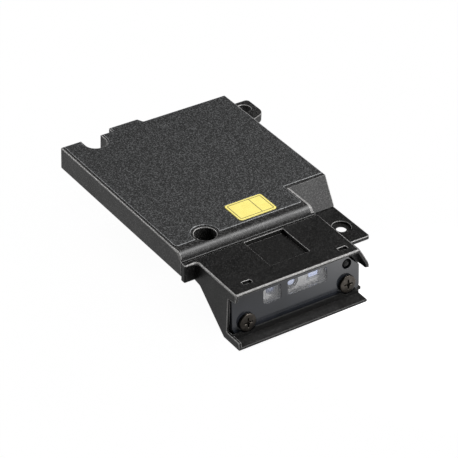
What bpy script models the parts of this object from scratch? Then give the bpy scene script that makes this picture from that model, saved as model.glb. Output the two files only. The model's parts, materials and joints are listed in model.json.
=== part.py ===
"""Optical scanner module: a flat cast housing with a raised scan-window hood at its front edge.

Lengths are in millimetres and are turned into metres as each mesh is made. The design frame has
X right along the front edge, Y back, and Z up, with Z = 0 at the textured top face. An empty moves
it so that the world origin is the centre of the footprint, on the plane that the module rests on.
"""

import math

import bmesh
import bpy
from mathutils import Matrix, Vector

MM = 0.001
GAP = 0.3  # clearance between pieces that touch

# Housing
WIDTH = 56.0
BACK_Y = 61.1
FOOT_Y = -1.12
COVER_TOP = -0.2
COVER_BOTTOM = -7.0
COVER_WALL = 1.3
COVER_CEILING = -1.5
NOSE_Y = 1.48
NOSE_R = 2.15
FOOT_TOP = -2.35
FOOT_UNDER = -3.2
NOSE_RIGHT = 44.05
CUTBACK_TOP_Y = 10.9
CUTBACK_SLOPE = 0.634  # Y gained for each millimetre of height
POCKET_FLOOR = -0.7
ACCESS_HOLE = (11.05, 4.05)
ACCESS_R = 3.1
NOTCH_X = 9.95
NOTCH_Y = 58.55
NOTCH_R = 3.25
EAR_HOLE = (60.5, 57.3)
EAR_TOP = -4.3

# Tray
TRAY_TOP = -8.28
TRAY_BOTTOM = -9.52
TRAY_LEFT = 2.6
TRAY_FRONT_Y = -1.1
FLANGE_FRONT_Y = -10.59
FLANGE_LEFT = 44.6
FLANGE_HOLE = (51.8, -3.1)
TRAY_SCREWS = ((5.9, 13.0), (5.9, 49.0), (51.9, 16.0), (51.9, 54.0))
BOARD_SCREWS = ((11.5, 13.5), (11.5, 50.0), (46.5, 13.5), (46.5, 53.5))

# Hood
PLATE_TOP = -2.645
SHEET_WALL = 0.9
HOOD_LEFT = 3.89
HOOD_RIGHT = 48.1
PLATE_RIGHT = 44.39
HOOD_FRONT_Y = -20.96
HOOD_BACK_Y = -1.42
BLOCK_FRONT_Y = -2.97
LIP_FRONT_Y = -23.67
LIP_TOP = -18.04
BASE_Z = -18.87
LIP_RIGHT = 46.1
SILL_FRONT_Y = -19.8
SILL_TOP = -16.4
SILL_NOTCH_Z = -14.45
WING_BACK_Y = -10.95
FLOOR_LOW = (-16.4, BASE_Z)
FLOOR_HIGH = (-4.5, -9.42)

# Scan window, which leans 6 degrees so that its lower edge is the forward one
WINDOW_TILT = math.radians(6.0)
WINDOW_CENTRE = (26.0, -18.03, -11.0)
WINDOW_SCREW_X = 16.46
WINDOW_SCREW_Z = -3.5
WINDOW_T = 0.9
MASK_T = 0.3
PIN_AT = (16.7, 2.4)
SMALL_PANE = (-10.75, -5.0)
LARGE_PANE = (-2.85, 10.05)
PANE_Z = (-0.45, 3.9)

# Engine
ENGINE_X = (15.2, 36.8)
ENGINE_Y = (-15.7, -10.4)
ENGINE_Z = (-12.6, -6.0)
OPTIC_Z = -9.4
LENS_X = 25.7
AIMER_X = 19.2
LED_X = 33.2

# Electronics
BOARD_TOP = -4.2
BOARD_T = 1.0
LATCH_AXIS = (12.9, -2.9)
FLEX_X = (20.2, 31.8)

COLOURS = {
    "cover": ((0.035, 0.035, 0.036), 0.55, 0.0),
    "texture": ((0.045, 0.046, 0.047), 0.8, 0.0),
    "hood": ((0.02, 0.02, 0.02), 0.5, 0.0),
    "label": ((0.84, 0.74, 0.24), 0.5, 0.0),
    "window": ((0.1, 0.1, 0.11), 0.08, 0.0),
    "mask": ((0.05, 0.05, 0.055), 0.3, 0.0),
    "screw": ((0.07, 0.06, 0.05), 0.35, 1.0),
    "steel": ((0.55, 0.55, 0.56), 0.3, 1.0),
    "brass": ((0.7, 0.5, 0.2), 0.3, 1.0),
    "board": ((0.02, 0.12, 0.05), 0.5, 0.0),
    "chip": ((0.03, 0.03, 0.03), 0.4, 0.0),
    "glass": ((0.3, 0.35, 0.5), 0.05, 0.0),
    "flex": ((0.45, 0.22, 0.04), 0.4, 0.0),
    "connector": ((0.7, 0.66, 0.55), 0.5, 0.0),
    "pad": ((0.4, 0.42, 0.45), 0.9, 0.0),
    "foam": ((0.02, 0.02, 0.02), 0.95, 0.0),
}


# ---------------------------------------------------------------- scene and materials


def clear_scene():
    for obj in list(bpy.data.objects):
        bpy.data.objects.remove(obj, do_unlink=True)


def new_collection(name):
    made = bpy.data.collections.new(name)
    bpy.context.scene.collection.children.link(made)
    return made


def new_empty(name, parent, location, tilt=0.0):
    empty = bpy.data.objects.new(name, None)
    parts.objects.link(empty)
    empty.parent = parent
    empty.location = Vector(location) * MM
    empty.rotation_euler = (tilt, 0.0, 0.0)
    return empty


def material(key):
    found = bpy.data.materials.get(key)
    if found:
        return found
    colour, roughness, metallic = COLOURS[key]
    made = bpy.data.materials.new(key)
    made.use_nodes = True
    shader = made.node_tree.nodes["Principled BSDF"]
    shader.inputs["Base Color"].default_value = (*colour, 1.0)
    shader.inputs["Roughness"].default_value = roughness
    shader.inputs["Metallic"].default_value = metallic
    return made


# ---------------------------------------------------------------- shape helpers


def add_object(name, mesh, key, parent=None):
    obj = bpy.data.objects.new(name, mesh)
    parts.objects.link(obj)
    obj.parent = parent or frame
    obj.data.materials.clear()
    obj.data.materials.append(material(key))
    return obj


def rounded(corners, steps=4):
    """Outline of (x, y) corners; a corner given as (x, y, radius) becomes an arc."""
    points = []
    count = len(corners)
    for i, corner in enumerate(corners):
        here = Vector(corner[:2])
        radius = corner[2] if len(corner) == 3 else 0.0
        if not radius:
            points.append(tuple(here))
            continue
        before = (Vector(corners[i - 1][:2]) - here).normalized()
        after = (Vector(corners[(i + 1) % count][:2]) - here).normalized()
        half = before.angle(after) / 2
        centre = here + (before + after).normalized() * (radius / math.sin(half))
        start = here + before * (radius / math.tan(half)) - centre
        end = here + after * (radius / math.tan(half)) - centre
        turn = start.angle_signed(end)
        for k in range(steps + 1):
            angle = -turn * k / steps
            swung = Matrix.Rotation(angle, 2) @ start
            points.append(tuple(centre + swung))
    return points


def ring(x, y, radius, count=32):
    """Points of a circle."""
    turns = [math.tau * k / count for k in range(count)]
    return [(x + radius * math.cos(t), y + radius * math.sin(t)) for t in turns]


def arc(x, y, radius, start, end, count=10):
    """Points of an arc between two angles in degrees."""
    angles = [math.radians(start + (end - start) * k / count) for k in range(count + 1)]
    return [(x + radius * math.cos(a), y + radius * math.sin(a)) for a in angles]


def rectangle(low_x, low_y, high_x, high_y, radius=0.0):
    corners = ((low_x, low_y), (high_x, low_y), (high_x, high_y), (low_x, high_y))
    return rounded([(*c, radius) for c in corners]) if radius else list(corners)


AXIS_TURN = {
    "Z": Matrix.Identity(4),
    "X": Matrix(((0, 0, 1, 0), (1, 0, 0, 0), (0, 1, 0, 0), (0, 0, 0, 1))),
    "Y": Matrix(((1, 0, 0, 0), (0, 0, -1, 0), (0, 1, 0, 0), (0, 0, 0, 1))),
}


def prism(name, outline, low, high, key="cover", axis="Z", holes=(), parent=None):
    """A flat outline, with holes, extruded from low to high along an axis.

    The outline's two coordinates are (x, y) for axis Z, (y, z) for axis X and (x, z) for axis Y.
    """
    curve = bpy.data.curves.new(name, "CURVE")
    curve.dimensions = "2D"
    curve.fill_mode = "BOTH"
    curve.extrude = (high - low) / 2 * MM
    for points in (outline, *holes):
        spline = curve.splines.new("POLY")
        spline.points.add(len(points) - 1)
        for point, (a, b) in zip(spline.points, points):
            point.co = (a * MM, b * MM, 0.0, 1.0)
        spline.use_cyclic_u = True
    guide = bpy.data.objects.new(name + "_outline", curve)
    parts.objects.link(guide)
    graph = bpy.context.evaluated_depsgraph_get()
    mesh = bpy.data.meshes.new_from_object(guide.evaluated_get(graph))
    bpy.data.objects.remove(guide, do_unlink=True)
    shape = bmesh.new()
    shape.from_mesh(mesh)
    bmesh.ops.remove_doubles(shape, verts=shape.verts, dist=1e-6)
    bmesh.ops.recalc_face_normals(shape, faces=shape.faces)
    shape.to_mesh(mesh)
    shape.free()
    obj = add_object(name, mesh, key, parent)
    middle = (low + high) / 2 * MM
    shift = {"X": (middle, 0, 0), "Y": (0, middle, 0), "Z": (0, 0, middle)}[axis]
    obj.matrix_local = Matrix.Translation(shift) @ AXIS_TURN[axis]
    return obj


def block(name, low, high, key="cover", parent=None, bevel=0.0):
    """An upright box between two corners."""
    bpy.ops.mesh.primitive_cube_add(size=1)
    obj = bpy.context.object
    low, high = Vector(low) * MM, Vector(high) * MM
    obj.data.transform(Matrix.Diagonal((*(high - low), 1.0)))
    settle(obj, name, key, parent)
    obj.location = (low + high) / 2
    if bevel:
        soften(obj, bevel)
    return obj


def settle(obj, name, key, parent):
    """Names a primitive, gives it its material and moves it into the parts collection."""
    for holder in list(obj.users_collection):
        holder.objects.unlink(obj)
    parts.objects.link(obj)
    obj.name = name
    obj.data.name = name
    obj.parent = parent or frame
    obj.data.materials.clear()
    obj.data.materials.append(material(key))


def soften(obj, width, segments=2):
    bevel = obj.modifiers.new("Soft edges", "BEVEL")
    bevel.width = width * MM
    bevel.segments = segments
    bevel.limit_method = "ANGLE"


def turned(name, profile, key, place, axis="Z", count=24, parent=None):
    """A solid of revolution from (radius, height) points that run top to bottom, on the axis at both ends."""
    mesh = bpy.data.meshes.new(name)
    points = [(r * MM, 0.0, h * MM) for r, h in profile]
    mesh.from_pydata(points, [(i, i + 1) for i in range(len(points) - 1)], [])
    obj = add_object(name, mesh, key, parent)
    screw = obj.modifiers.new("Turn", "SCREW")
    screw.steps = count
    screw.render_steps = count
    screw.use_merge_vertices = True
    screw.merge_threshold = 1e-6
    obj.location = Vector(place) * MM
    # Turned about X, the profile's +Z points forward for "-Y", backward for "Y" and down for "-Z"
    turns = {"Z": 0.0, "-Y": 90.0, "-Z": 180.0, "Y": -90.0}
    obj.rotation_euler = (math.radians(turns[axis]), 0.0, 0.0)
    return obj


def combine(target, tool, operation):
    """Adds a Boolean and puts its tool away."""
    modifier = target.modifiers.new(operation.title(), "BOOLEAN")
    modifier.operation = operation
    modifier.solver = "EXACT"
    modifier.object = tool
    tool.hide_render = True
    tool.display_type = "WIRE"
    parts.objects.unlink(tool)
    cutters.objects.link(tool)


def cut(target, tool):
    combine(target, tool, "DIFFERENCE")


def join(target, tool):
    combine(target, tool, "UNION")


def smooth(obj, degrees=35):
    """Smooth shading with sharp edges kept, on a piece whose mesh is already final."""
    obj.data.shade_smooth()
    obj.data.set_sharp_from_angle(angle=math.radians(degrees))


# ---------------------------------------------------------------- housing


def nose_points():
    """The rounded nose from the foot up to the top face, in (y, z)."""
    return arc(NOSE_Y, COVER_TOP - NOSE_R, NOSE_R, 180, 90, 12)


def cutback_y(z, inset=0.0):
    return CUTBACK_TOP_Y + CUTBACK_SLOPE * z + inset


def sheet_outline(grow=0.0):
    """Plan of the textured sheet, or of its pocket when grown."""
    front = 3.1 - grow
    hole_r = 4.2 - grow
    reach = math.degrees(math.asin((front - ACCESS_HOLE[1]) / hole_r))
    around_hole = arc(*ACCESS_HOLE, hole_r, 180 - reach, reach)
    around_notch = arc(NOTCH_X, NOTCH_Y, NOTCH_R + 0.75 - grow, 0, -180)
    front_left = rounded([(1.1 - grow, 60.5), (1.1 - grow, front, 1.0), (6.0, front)])[1:-1]
    right_back = rounded([
        (16.0, front), (42.1 + grow, front, 0.8), (42.1 + grow, 12.0 - grow, 0.3),
        (55.4 + grow, 12.0 - grow, 0.3), (55.4 + grow, 60.5 + grow, 0.3),
        (27.2 + grow, 60.5 + grow, 0.5), (26.3 + grow, 62.4 + grow, 0.3),
        (17.6 - grow, 62.4 + grow, 0.3), (17.6 - grow, 60.5 + grow, 0.2), (14.5, 60.5 + grow),
    ])[1:-1]
    notch_edge = NOTCH_R + 0.75 - grow
    after_notch = [(NOTCH_X + notch_edge, 60.5 + grow), *around_notch, (NOTCH_X - notch_edge, 60.5 + grow)]
    return [*front_left, *around_hole, *right_back, *after_notch, (1.1 - grow, 60.5 + grow)]


def cover_body():
    """Outer block of the housing: the nosed part, the cut-back right part, the rear tab and the ear."""
    back = [(BACK_Y, COVER_TOP), (BACK_Y, COVER_BOTTOM), (FOOT_Y, COVER_BOTTOM)]
    toe = rounded([(FOOT_Y, -5.0), (FOOT_Y, FOOT_TOP, 0.2), (0, FOOT_TOP)])[1:-1]
    cover = prism("top_cover", [*toe, *nose_points(), *back], 0.0, NOSE_RIGHT, axis="X")
    low = TRAY_TOP + GAP
    right = [
        (cutback_y(low), low), (cutback_y(COVER_TOP), COVER_TOP), (BACK_Y, COVER_TOP),
        (BACK_Y, COVER_BOTTOM), (8.4, COVER_BOTTOM), (8.4, low),
    ]
    join(cover, prism("cover_right", right, NOSE_RIGHT - 1.0, WIDTH, axis="X"))
    tab = rounded([
        (17.0, 60.0), (17.0, 63.0, 0.5), (26.7, 63.0, 0.5), (26.7, 61.6, 0.3), (27.6, 60.9), (27.6, 60.0),
    ])
    join(cover, prism("cover_tab", tab, COVER_BOTTOM, COVER_TOP))
    ear = rounded([
        (55.0, 46.5), (56.0, 46.5), (57.2, 50.0, 2.0), (64.4, 52.6, 3.0), (64.4, BACK_Y, 1.2), (55.0, BACK_Y),
    ])
    join(cover, prism("cover_ear", ear, COVER_BOTTOM, EAR_TOP))
    return cover


def hollow_cover(cover):
    ceiling, low = COVER_CEILING, -12.0
    nosed = [(-4, FOOT_UNDER), (1.9, FOOT_UNDER), (4.2, ceiling), (BACK_Y - COVER_WALL, ceiling),
             (BACK_Y - COVER_WALL, low), (-4, low)]
    cut(cover, prism("cavity_left", nosed, COVER_WALL, NOSE_RIGHT - COVER_WALL, axis="X"))
    right = [(cutback_y(ceiling, 1.55), ceiling), (BACK_Y - COVER_WALL, ceiling),
             (BACK_Y - COVER_WALL, low), (cutback_y(low, 1.55), low)]
    cut(cover, prism("cavity_right", right, NOSE_RIGHT - 2.0, WIDTH - COVER_WALL, axis="X"))


def cover_bosses(cover):
    """Bosses that hang from the ceiling, the notch's surround and the tube of the access hole."""
    for index, (x, y) in enumerate(TRAY_SCREWS):
        join(cover, prism(f"cover_boss_{index}", ring(x, y, 1.9, 20), COVER_BOTTOM, ceiling_overlap()))
        cut(cover, prism(f"cover_boss_hole_{index}", ring(x, y, 0.85, 16), -12.0, -2.6))
    join(cover, block("notch_surround", (5.4, 54.0, COVER_BOTTOM), (14.5, BACK_Y - 0.5, ceiling_overlap())))
    join(cover, prism("access_tube", ring(*ACCESS_HOLE, 4.3), COVER_BOTTOM, ceiling_overlap()))
    for x in (17.5, 37.5):
        cut(cover, prism(f"hood_screw_hole_{x:.0f}", ring(x, 1.6, 0.85, 16), -4.0, -1.7))


def ceiling_overlap():
    return COVER_CEILING + 0.3


def make_top_cover():
    cover = cover_body()
    hollow_cover(cover)
    cover_bosses(cover)
    bottom = arc(NOTCH_X, NOTCH_Y, NOTCH_R, 0, -180, 14)
    notch = [(NOTCH_X + NOTCH_R, 66.0), *bottom, (NOTCH_X - NOTCH_R, 66.0)]
    cut(cover, prism("notch", notch, -12.0, 2.0))
    cut(cover, prism("access_hole", ring(*ACCESS_HOLE, ACCESS_R, 40), -12.0, 2.0))
    cut(cover, prism("sheet_pocket", sheet_outline(GAP), POCKET_FLOOR, 2.0))
    cut(cover, prism("ear_hole", ring(*EAR_HOLE, 2.1), -12.0, 2.0))
    sink = turned("ear_sink", [(0, 0.5), (2.85, 0.5), (2.05, -0.3), (0, -0.3)], "cover", (*EAR_HOLE, EAR_TOP))
    cut(cover, sink)
    return cover


def make_top_sheet():
    window = rectangle(22.25, 3.7, 34.8, 12.3, 0.6)
    prism("textured_sheet", sheet_outline(), -0.4, 0.0, "texture", holes=[window])
    label = rectangle(22.55, 4.0, 34.5, 12.0, 0.5)
    prism("yellow_label", label, -0.35, 0.06, "label")


def make_lower_tray():
    floor = rounded([
        (TRAY_LEFT, TRAY_FRONT_Y, 0.8), (FLANGE_LEFT, TRAY_FRONT_Y), (FLANGE_LEFT, FLANGE_FRONT_Y, 0.4),
        (WIDTH, FLANGE_FRONT_Y, 0.5), (WIDTH, BACK_Y), (13.5, BACK_Y), (13.5, 55.0, 1.5), (6.4, 55.0, 1.5),
        (6.4, BACK_Y), (TRAY_LEFT, BACK_Y, 1.0),
    ])
    tray = prism("lower_tray", floor, TRAY_BOTTOM, TRAY_TOP, "hood")
    rim = TRAY_TOP - 0.3
    lap = (
        ((TRAY_LEFT, 8.0, rim), (3.6, 52.5, -5.8)), ((1.6, 8.0, -6.9), (3.2, 52.5, -5.8)),
        ((53.4, 20.0, rim), (54.4, 50.0, -5.8)), ((16.0, 58.5, rim), (50.0, 59.5, -5.8)),
        ((54.9, 9.5, rim), (WIDTH, BACK_Y, -7.3)), ((16.0, 60.0, rim), (55.4, BACK_Y, -7.3)),
    )
    for index, (low, high) in enumerate(lap):
        join(tray, block(f"tray_wall_{index}", low, high))
    for index, (x, y) in enumerate(TRAY_SCREWS):
        join(tray, prism(f"tray_pad_{index}", ring(x, y, 2.1, 20), rim, COVER_BOTTOM - GAP))
        cut(tray, prism(f"tray_hole_{index}", ring(x, y, 1.1, 16), -12.0, -4.0))
        cut(tray, prism(f"tray_sink_{index}", ring(x, y, 2.0, 20), -12.0, TRAY_BOTTOM + 0.8))
    for index, (x, y) in enumerate(BOARD_SCREWS):
        join(tray, prism(f"standoff_{index}", ring(x, y, 1.9, 16), rim, BOARD_TOP - BOARD_T - GAP))
        cut(tray, prism(f"standoff_hole_{index}", ring(x, y, 0.95, 16), -8.6, -4.0))
    join(tray, prism("access_pad", ring(*ACCESS_HOLE, 3.9), rim, COVER_BOTTOM - GAP))
    cut(tray, prism("access_screw_hole", ring(*ACCESS_HOLE, 1.6, 24), -12.0, -4.0))
    cut(tray, prism("flange_hole", ring(*FLANGE_HOLE, 1.6, 24), -12.0, -4.0))
    cut(tray, prism("flange_counterbore", ring(*FLANGE_HOLE, 2.75, 36), TRAY_TOP - 0.55, -4.0))
    cut(tray, prism("dock_opening", rectangle(20.6, 38.6, 39.4, 45.4, 0.6), -12.0, -4.0))
    return tray


def make_fasteners():
    for index, (x, y) in enumerate(TRAY_SCREWS):
        make_screw(f"tray_screw_{index + 1}", (x, y, TRAY_BOTTOM + 0.8 - GAP), "-Z", 1.7, 0.45, 0.75, 5.6)
    for index, (x, y) in enumerate(BOARD_SCREWS):
        make_screw(f"board_screw_{index + 1}", (x, y, BOARD_TOP + GAP), "Z", 1.6, 0.8, 0.7, 3.6)
    for side, x in (("left", 17.5), ("right", 37.5)):
        make_screw(f"hood_screw_{side}", (x, 1.6, -4.4 - GAP), "-Z", 1.5, 0.8, 0.7, 2.8)


def make_screw(name, place, axis, head_r, head_h, shank_r, length, parent=None, count=12, key="steel"):
    """A pan-head screw with a cross recess. Its place is the middle of the face under the head."""
    steps = max(2, count // 6)
    angles = [math.pi / 2 * k / steps for k in range(steps + 1)]
    crown = [(head_r * math.sin(a), head_h * (0.45 + 0.55 * math.cos(a))) for a in angles]
    profile = [*crown, (head_r * 0.98, 0.0), (shank_r, 0.0), (shank_r, -length + 0.3),
               (shank_r * 0.6, -length), (0.0, -length)]
    screw = turned(name, profile, key, place, axis, count, parent)
    arm, tip, root, deep = head_r * 0.57, head_r * 0.08, head_r * 0.12, head_h * 0.5
    cross = []
    for quarter in range(4):
        turn = Matrix.Rotation(quarter * math.pi / 2, 2)
        cross += [tuple(turn @ Vector(p)) for p in ((root, -root), (arm, -tip), (arm, tip))]
    recess = prism(name + "_recess", cross, head_h - deep, head_h + 1.0, key, parent=screw)
    cut(screw, recess)
    return screw


# ---------------------------------------------------------------- hood


def side_wall_outline():
    """The left wall in (y, z), stepped back round the window, with an arm over the lip."""
    return rounded([
        (HOOD_BACK_Y, PLATE_TOP), (HOOD_FRONT_Y, PLATE_TOP, 0.4), (HOOD_FRONT_Y, -5.1, 0.4),
        (-17.5, -5.7, 0.4), (-17.5, -16.6), (LIP_FRONT_Y + 0.4, -16.6, 0.4), (LIP_FRONT_Y, BASE_Z, 0.3),
        FLOOR_LOW, FLOOR_HIGH, (-2.0, -9.03), (HOOD_BACK_Y, -9.0),
    ])


def wing_outline():
    """The right wall in (x, z): it flares outwards from the plate's edge and then drops straight."""
    return [
        (PLATE_RIGHT - 3.0, PLATE_TOP - 0.2), (PLATE_RIGHT, PLATE_TOP), (46.06, -5.31), (47.63, -7.94),
        (48.0, -8.9), (HOOD_RIGHT, -10.0), (HOOD_RIGHT, BASE_Z), (HOOD_RIGHT - SHEET_WALL, BASE_Z),
        (HOOD_RIGHT - SHEET_WALL, -9.7), (46.6, -9.5), (44.68, -7.44), (42.79, -5.23), (41.68, -3.51),
    ]


def floor_outline(front):
    """The floor plate in (y, z), from the given front edge back along the slope."""
    return [
        (front, LIP_TOP), (front, BASE_Z), FLOOR_LOW, FLOOR_HIGH, (-2.0, -9.03),
        (-2.0, -9.03 + SHEET_WALL), (-4.1, -9.42 + SHEET_WALL), (-16.1, LIP_TOP),
    ]


def below_slope():
    """Everything under the sloping floor, for trimming what hangs through it."""
    outline = [(-16.4, -30.0), FLOOR_LOW, FLOOR_HIGH, (-2.0, -9.03), (20.0, -9.0), (20.0, -30.0)]
    return prism("below_slope", outline, -10.0, 70.0, axis="X")


def hood_plate():
    """Top plate with the block at its left and the shelf and two tongues that go under the housing's foot."""
    plan = rounded([
        (0.0, HOOD_BACK_Y), (0.0, BLOCK_FRONT_Y, 0.3), (HOOD_LEFT, BLOCK_FRONT_Y, 0.9),
        (HOOD_LEFT, HOOD_FRONT_Y, 0.5), (PLATE_RIGHT, HOOD_FRONT_Y, 0.3), (PLATE_RIGHT, HOOD_BACK_Y),
    ])
    hood = prism("scanner_hood", plan, PLATE_TOP - SHEET_WALL, PLATE_TOP, "hood")
    corner = (HOOD_LEFT + 0.5, HOOD_BACK_Y, PLATE_TOP - 0.3)
    join(hood, block("hood_block", (0.0, BLOCK_FRONT_Y, -8.15), corner))
    join(hood, block("hood_shelf", (5.2, -2.6, -4.4), (42.4, -0.6, -3.5)))
    for x in (17.5, 37.5):
        tongue = rounded([(x - 1.9, -1.5), (x + 1.9, -1.5), (x + 1.9, 3.6, 1.2), (x - 1.9, 3.6, 1.2)])
        join(hood, prism(f"hood_tongue_{x:.0f}", tongue, -4.4, -3.5))
    return hood


def hood_walls(hood):
    join(hood, prism("left_wall", side_wall_outline(), HOOD_LEFT, HOOD_LEFT + SHEET_WALL, axis="X"))
    wing = prism("right_wing", wing_outline(), HOOD_FRONT_Y, WING_BACK_Y, axis="Y")
    step = rounded([(-30, -9.6), (-15.9, -9.6, 1.0), (-15.9, -30), (-30, -30)])
    cut(wing, prism("wing_step", step, 45.0, 60.0, axis="X"))
    join(hood, wing)
    join(hood, prism("floor_main", floor_outline(LIP_FRONT_Y), HOOD_LEFT + 0.2, PLATE_RIGHT - 0.1, axis="X"))
    join(hood, block("lip_end", (40.0, LIP_FRONT_Y, BASE_Z), (LIP_RIGHT, -16.0, LIP_TOP)))
    right_floor = [
        (-18.0, BASE_Z), FLOOR_LOW, (WING_BACK_Y, -14.54), (WING_BACK_Y, -13.4), (-16.1, LIP_TOP),
        (-18.0, LIP_TOP),
    ]
    join(hood, prism("floor_right", right_floor, 43.0, HOOD_RIGHT, axis="X"))
    join(hood, block("right_wall", (PLATE_RIGHT - 1.0, WING_BACK_Y - 0.5, -15.0),
                     (PLATE_RIGHT - 0.1, HOOD_BACK_Y, PLATE_TOP - 0.4)))
    back = [(WING_BACK_Y - 0.9, -4.0), (WING_BACK_Y, -4.0), (WING_BACK_Y, -15.0), (WING_BACK_Y - 0.9, -16.0)]
    join(hood, prism("wing_back", back, PLATE_RIGHT - 0.5, 45.2, axis="X"))
    behind = [(44.0, -5.6), (45.8, -5.6), (47.6, -8.6), (47.8, -14.0), (44.0, -14.0)]
    join(hood, prism("wing_back_fill", behind, WING_BACK_Y - 0.9, WING_BACK_Y, axis="Y"))


def sill_rib(hood):
    """A thin rib on the lip that hides the window's lower edge, notched round the screw heads."""
    outline = rounded([
        (HOOD_LEFT + 0.4, LIP_TOP - 0.3), (HOOD_LEFT + 0.4, SILL_TOP), (LIP_RIGHT - 0.1, SILL_TOP, 1.5),
        (LIP_RIGHT - 0.1, LIP_TOP - 0.3),
    ])
    rib = prism("sill_rib", outline, SILL_FRONT_Y, SILL_FRONT_Y + 0.5, axis="Y")
    for x in (26.0 - WINDOW_SCREW_X, 26.0 + WINDOW_SCREW_X):
        head = ring(x, SILL_NOTCH_Z, 2.95, 32)
        cut(rib, prism(f"sill_notch_{x:.0f}", head, SILL_FRONT_Y - 1.0, SILL_FRONT_Y + 1.5, axis="Y"))
    join(hood, rib)


def window_bosses(hood):
    """Two bosses behind the scan window, each bored for a threaded insert, and the pin's post."""
    for side, x in (("left", -WINDOW_SCREW_X), ("right", WINDOW_SCREW_X)):
        round_boss = ring(x, WINDOW_SCREW_Z, 2.6, 24)
        join(hood, prism(f"window_boss_{side}", round_boss, 1.9, 7.0, axis="Y", parent=window_frame))
    bracing = (
        ((HOOD_LEFT + 0.3, -16.6, -17.6), (7.6, -12.6, -12.6)),
        ((44.0, -15.6, -17.6), (HOOD_RIGHT - 0.3, -12.6, -12.6)),
    )
    for index, (low, high) in enumerate(bracing):
        join(hood, block(f"boss_web_{index}", low, high))
    cut(hood, below_slope())
    for side, x in (("left", -WINDOW_SCREW_X), ("right", WINDOW_SCREW_X)):
        bore = ring(x, WINDOW_SCREW_Z, 1.7, 24)
        cut(hood, prism(f"window_bore_{side}", bore, -1.0, 3.9, axis="Y", parent=window_frame))


def make_hood():
    hood = hood_plate()
    hood_walls(hood)
    join(hood, block("recess_tray", (18.6, -15.3, -5.0), (33.4, HOOD_BACK_Y - 0.1, -3.0)))
    window_bosses(hood)
    sill_rib(hood)
    cut(hood, prism("plate_recess", rectangle(19.6, -14.4, 32.4, -1.9, 0.3), -4.1, 2.0))
    for name, low, high in (("left", (8.64, -17.9), (11.4, -16.6)), ("right", (39.3, -18.6), (42.1, -17.3))):
        slot = rectangle(*low, *high, 0.2)
        cut(hood, prism(f"plate_slot_{name}", slot, PLATE_TOP - 0.5, 2.0))
    for x in (17.5, 37.5):
        cut(hood, prism(f"tongue_hole_{x:.0f}", ring(x, 1.6, 1.0, 16), -6.0, -3.0))
    return hood


# ---------------------------------------------------------------- scan window


def pane(span):
    return rectangle(span[0], PANE_Z[0], span[1], PANE_Z[1], 0.6)


def window_outline():
    """The window plate's face, with its upper right corner cut to follow the flared wing."""
    return rounded([
        (-20.9, -6.5, 2.0), (20.9, -6.5, 1.4), (20.9, 0.9), (18.45, 3.2), (16.4, 5.5), (15.4, 7.1),
        (-20.9, 7.1, 0.5),
    ])


def make_window():
    screws = [ring(x, WINDOW_SCREW_Z, 1.4, 20) for x in (-WINDOW_SCREW_X, WINDOW_SCREW_X)]
    pin_hole = ring(*PIN_AT, 1.5, 24)
    holes = [*screws, pin_hole]
    prism("window_plate", window_outline(), 0.0, WINDOW_T, "window", "Y", holes, window_frame)
    back = WINDOW_T + GAP
    holes += [pane(SMALL_PANE), pane(LARGE_PANE)]
    prism("window_mask", window_outline(), back, back + MASK_T, "mask", "Y", holes, window_frame)
    for side, x in (("left", -WINDOW_SCREW_X), ("right", WINDOW_SCREW_X)):
        place = (x, -GAP, WINDOW_SCREW_Z)
        make_screw(f"window_screw_{side}", place, "-Y", 2.6, 1.0, 0.95, 3.9, window_frame, 32, "screw")
        bore = [ring(x, WINDOW_SCREW_Z, 1.15, 24)]
        insert = prism(f"threaded_insert_{side}", ring(x, WINDOW_SCREW_Z, 1.45, 24), 2.1, 3.6, "brass", "Y",
                       bore, window_frame)
        smooth(insert)
    pin = [(0, 0.4), (0.7, 0.35), (1.05, 0.0), (1.1, -0.5), (1.1, -1.6), (0, -1.6)]
    turned("locating_pin", pin, "hood", (PIN_AT[0], 0.5, PIN_AT[1]), "-Y", 24, window_frame)


# ---------------------------------------------------------------- scan engine


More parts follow.
